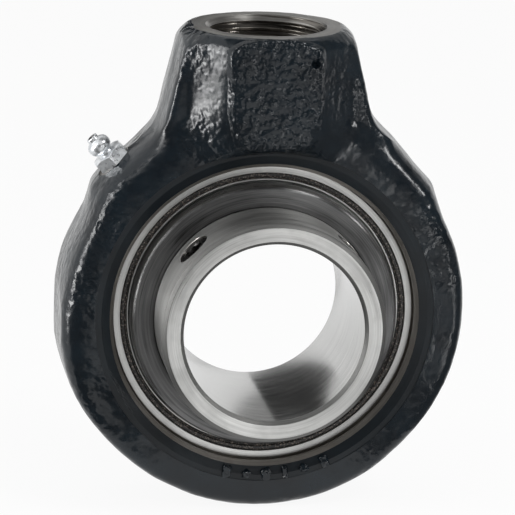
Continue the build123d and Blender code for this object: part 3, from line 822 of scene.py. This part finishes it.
# ---- grease nipple
nipple = {
    "angle": 135.0, "distance": 58.4, "hex": 9.0, "hexHeight": 3.5, "shank": 3.9, "shankLength": 5.5,
    "shankChamfer": 0.6, "neck": 2.25, "neckHeight": 0.7, "head": 3.4, "headHeight": 4.2,
    "tip": 1.7, "tipHeight": 1.1, "boreRadius": 1.3, "mouth": 0.8, "mouthFlare": 0.25, "seatBelow": 1.2,
    "retainer": (0.8, 0.8),            # radius and height of the ledge under the spring
    # the head's barrel: how far inside the head's radius, and how far above the neck
    "barrel": [(0.95, 0.25), (0.4, 0.7), (0.08, 1.4), (0, 2.1), (0.08, 2.75), (0.4, 3.35), (0.95, 3.85)],
    "valveTravel": 0.8,
}


def makeNipple():
    s = nipple
    hexHeight, head, shank, neck, tip = s["hexHeight"], s["head"], s["shank"], s["neck"], s["tip"]
    foot = -s["shankLength"]
    bottom = hexHeight + s["neckHeight"]
    top = bottom + s["headHeight"]
    end = top + s["tipHeight"]
    body = solidHex(s["hex"], 0, hexHeight, "zinc")
    corner = s["hex"] / 2 / math.cos(math.pi / 6)
    cap = [(0, -0.2), (corner - 0.25, -0.2), (corner + 0.1, 0.25), (corner + 0.1, hexHeight - 0.55),
           (s["hex"] / 2 - 0.1, hexHeight), (0, hexHeight)]
    cutWith(body, newObject("tool", turned(cap, 144), "zinc"), "INTERSECT")
    # shank, neck, barrel head and flat tip in one
    barrel = [(head - inset, bottom + height) for inset, height in s["barrel"]]
    chamfer = s["shankChamfer"]
    stem = [(0, foot), (shank - chamfer, foot), (shank, foot + chamfer), (shank, 0.4), (neck, 0.4),
            (neck, hexHeight + 0.1), (neck - 0.15, bottom - 0.15), (neck, bottom), *barrel, (tip, top),
            (tip, end - 0.2), (tip - 0.2, end), (0, end)]
    cutWith(body, newObject("tool", turned(eased(stem, 0.1), 144), "zinc"), "UNION")
    # the way through: past the ledge, the spring's room, the ball's conical seat and the mouth
    seat = end - s["seatBelow"]
    bore, mouth, flare = s["boreRadius"], s["mouth"], s["mouthFlare"]
    ledge, ledgeHeight = s["retainer"]
    way = [(0, foot - 1), (ledge, foot - 1), (ledge, foot + ledgeHeight), (bore, foot + ledgeHeight),
           (bore, seat), (mouth, seat + bore - mouth), (mouth, end - flare), (mouth + 2 * flare, end + flare),
           (0, end + flare)]
    cutWith(body, newObject("tool", turned(way, 72), "socketSteel"))
    body.name = "nippleBody"
    body.data.transform(radialMatrix(s["angle"], 0, s["distance"]))
    finishPiece(body, "housing", ["nipple_body"], 32)


# ---- pieces inside the insert and the nipple
def dressNode(node, name, body, finish, easeMm):
    # a copy of a solid with its corners eased
    bm = bmesh.new()
    bm.from_mesh(nodes[node].data)
    bmesh.ops.remove_doubles(bm, verts=bm.verts, dist=1e-7)
    if easeMm:
        bmesh.ops.dissolve_limit(bm, angle_limit=math.radians(1), verts=bm.verts, edges=bm.edges)
        easeEdges(bm, easeMm, 2, 40)
    return finishPiece(newObject(name, bm, finish), body, [node], 40)


def makeSpring():
    # a copy of the spring in drawn wire, with a mesh of its own
    piece = dressNode("nipple_spring", "nippleSpring", "housing", "wire", 0)
    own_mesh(piece)


def makeBalls():
    s = insert
    for i in range(s["ballCount"]):
        bm = bmesh.new()
        bmesh.ops.create_icosphere(bm, subdivisions=5, radius=s["ballRadius"] * mm)
        place = acrossShaft(360 / s["ballCount"] * i) * s["pitchRadius"] * mm
        bmesh.ops.translate(bm, verts=bm.verts, vec=place)
        node = f"ball_{i + 1:02d}"
        finishPiece(newObject(f"ball{i + 1:02d}", bm, "polished"), node, [node], 60)


print("pieces")
makeHousing()
makePips()
makeInnerRing()
makeOuterRing()
makeSeals()
makeFlingers()
makeSetScrews()
makeNipple()
makeBalls()
dressNode("cage_front", "cageFront", "cage", "cage", 0)
dressNode("cage_rear", "cageRear", "cage", "cage", 0)
dressNode("cage_rivets", "cageRivets", "cage", "cage", 0.12)
dressNode("nipple_ball", "nippleBall", "nipple_ball", "polished", 0)
makeSpring()


# ---- camera, floor and light
camera = {
    "azimuth": -8.645, "elevation": 14.036, "distance": 1.0216, "roll": 1.704,
    "target": (-0.000548, 0.0, 0.013428), "lens": 254.7, "sensor": 36.0,
}


studio = {
    "centre": Vector((0, 0, 0.01)),    # what lamps point at and cards stand round
    "cardReach": 1.5, "cardAboveFloor": 0.002, "cardRows": 12, "cardColumns": 16,
    "floorSize": 4.0, "floorBelow": 0.0002, "floorGlow": 0.92,
}


def towards(azimuth, elevation):
    # a unit vector: 0, 0 points at the front and 90, 0 along +X, in degrees
    azimuth, elevation = math.radians(azimuth), math.radians(elevation)
    return Vector((math.sin(azimuth) * math.cos(elevation), -math.cos(azimuth) * math.cos(elevation),
                   math.sin(elevation)))


def makeCamera():
    s = camera
    back = towards(s["azimuth"], s["elevation"])
    data = bpy.data.cameras.new("camera")
    data.sensor_width, data.lens = s["sensor"], s["lens"]
    data.clip_start, data.clip_end = 0.05, 20
    view = bpy.data.objects.new("camera", data)
    bpy.context.scene.collection.objects.link(view)
    facing = (-back).to_track_quat("-Z", "Y").to_matrix().to_4x4()
    view.matrix_world = (Matrix.Translation(Vector(s["target"]) + back * s["distance"]) @ facing
                         @ Matrix.Rotation(math.radians(s["roll"]), 4, "Z"))
    bpy.context.scene.camera = view


lights = {
    # name: (azimuth from the front towards +X, elevation, distance, size, power)
    "left0": (-80, 0, 0.8, 0.2, 1.4),
    "left1": (-79, 16, 0.8, 0.2, 0.55),
    "left2": (-68, 31, 0.8, 0.2, 0.5),
    "left3": (-50, 44, 0.8, 0.2, 0.2),
    "left4": (-26, 55, 0.8, 0.2, 0.2),
    "right": (64, 28, 0.8, 0.13, 1.1),
    "rightTop": (43, 50, 0.8, 0.16, 1.2),
    "front": (14, 6, 1.15, 0.3, 0.6),
}


def makeLights():
    for name, (azimuth, elevation, distance, size, power) in lights.items():
        place = distance * towards(azimuth, elevation)
        data = bpy.data.lights.new(name, "AREA")
        data.shape = "SQUARE"
        data.size, data.energy = size, power
        lamp = bpy.data.objects.new(name, data)
        bpy.context.scene.collection.objects.link(lamp)
        lamp.location = place
        lamp.rotation_mode = "QUATERNION"
        lamp.rotation_quaternion = (studio["centre"] - place).to_track_quat("-Z", "Y")


# cards round the object that only its reflections show: azimuth from the front towards +X,
# elevation, and shade; those below the horizon lie on the floor
cards = {
    "frontHigh": ((-70, 118), (3, 62), 0.09),
    "horizon": ((-70, 118), (-5, 3), 0.25),
    "frontLow": ((-22, 28), (-13, -5), 0.5),
    "frontLeftLow": ((-68, -22), (-45, -5), 0.10),
    "rightLow": ((28, 104), (-45, -5), 0.16),
    # narrow strip lamps that draw bright lines along rounded edges
    "leftStrip": ((-82, -78), (-12, 34), 12),
    "topStrip": ((-66, 58), (45, 48), 11),
    "rightStrip": ((40, 43), (-24, 24), 16),
    "backLeft": ((172, 201), (6, 34), 0.03),
    "zenith": ((-180, 180), (62, 89), 0.12),
    "backHigh": ((120, 172), (13, 50), 0.35),
}


def makeCard(name, azimuths, elevations, shade):
    s = studio
    rows, columns = s["cardRows"], s["cardColumns"]
    floorDepth = s["centre"].z - cadBox[0].z - s["cardAboveFloor"]
    bm = bmesh.new()
    grid = []
    for i in range(rows + 1):
        elevation = elevations[0] + (elevations[1] - elevations[0]) * i / rows
        down = math.sin(-math.radians(elevation))
        far = min(s["cardReach"], floorDepth / down) if down > 0.01 else s["cardReach"]
        turns = [azimuths[0] + (azimuths[1] - azimuths[0]) * j / columns for j in range(columns + 1)]
        grid.append([bm.verts.new(s["centre"] + far * towards(azimuth, elevation)) for azimuth in turns])
    for below, above in zip(grid, grid[1:]):
        for quad in zip(below, below[1:], above[1:], above):
            bm.faces.new(quad)
    card = newObject("card" + name[0].upper() + name[1:], bm)
    material, _, shader, _ = newMaterial(card.name)
    shader.inputs["Base Color"].default_value = (0, 0, 0, 1)
    shader.inputs["Roughness"].default_value = 1
    shader.inputs["Emission Color"].default_value = (1, 1, 1, 1)
    shader.inputs["Emission Strength"].default_value = shade
    card.data.materials.append(material)
    for kind in ("camera", "diffuse", "transmission", "shadow", "volume_scatter"):
        setattr(card, "visible_" + kind, False)


def seenRays(tree):
    # 1 for rays that show the white background, in the camera or in a reflection
    rays = addNode(tree, "ShaderNodeLightPath").outputs
    mirrored = maths(tree, "MAXIMUM", rays["Is Glossy Ray"], rays["Is Transmission Ray"])
    return maths(tree, "MAXIMUM", rays["Is Camera Ray"], mirrored)


def makeFloor():
    s = studio
    bm = bmesh.new()
    bmesh.ops.create_grid(bm, x_segments=1, y_segments=1, size=s["floorSize"])
    bmesh.ops.translate(bm, verts=bm.verts, vec=(0, 0, cadBox[0].z - s["floorBelow"]))
    floor = newObject("floor", bm)
    material, tree, shader, _ = newMaterial("paleFloor")
    shader.inputs["Base Color"].default_value = hexColour("#f6f6f6")
    shader.inputs["Roughness"].default_value = 0.9
    glow = addNode(tree, "ShaderNodeEmission", {"Strength": 1.0})
    share = maths(tree, "MULTIPLY", seenRays(tree), s["floorGlow"])
    both = addNode(tree, "ShaderNodeMixShader", {0: share, 1: shader.outputs[0], 2: glow.outputs[0]})
    output = next(node for node in tree.nodes if node.type == "OUTPUT_MATERIAL")
    tree.links.new(both.outputs[0], output.inputs["Surface"])
    floor.data.materials.append(material)


def makeWorld():
    # half as bright where it lights the object as where it is seen
    world = bpy.data.worlds.new("studio")
    bpy.context.scene.world = world
    world.use_nodes = True
    tree = world.node_tree
    tree.nodes.clear()
    seen = seenRays(tree)
    soft = addNode(tree, "ShaderNodeBackground", {"Color": hexColour("#ffffff"), "Strength": 0.5})
    white = addNode(tree, "ShaderNodeBackground", {"Color": hexColour("#ffffff"), "Strength": 1.0})
    both = addNode(tree, "ShaderNodeMixShader", {0: seen, 1: soft.outputs[0], 2: white.outputs[0]})
    addNode(tree, "ShaderNodeOutputWorld", {"Surface": both.outputs[0]})


makeCamera()
makeLights()
makeFloor()
makeWorld()
for name, (azimuths, elevations, shade) in cards.items():
    makeCard(name, azimuths, elevations, shade)
print("stage set,", len(lights), "lamps,", len(cards), "cards")
bpy.context.scene.view_settings.view_transform = "Standard"
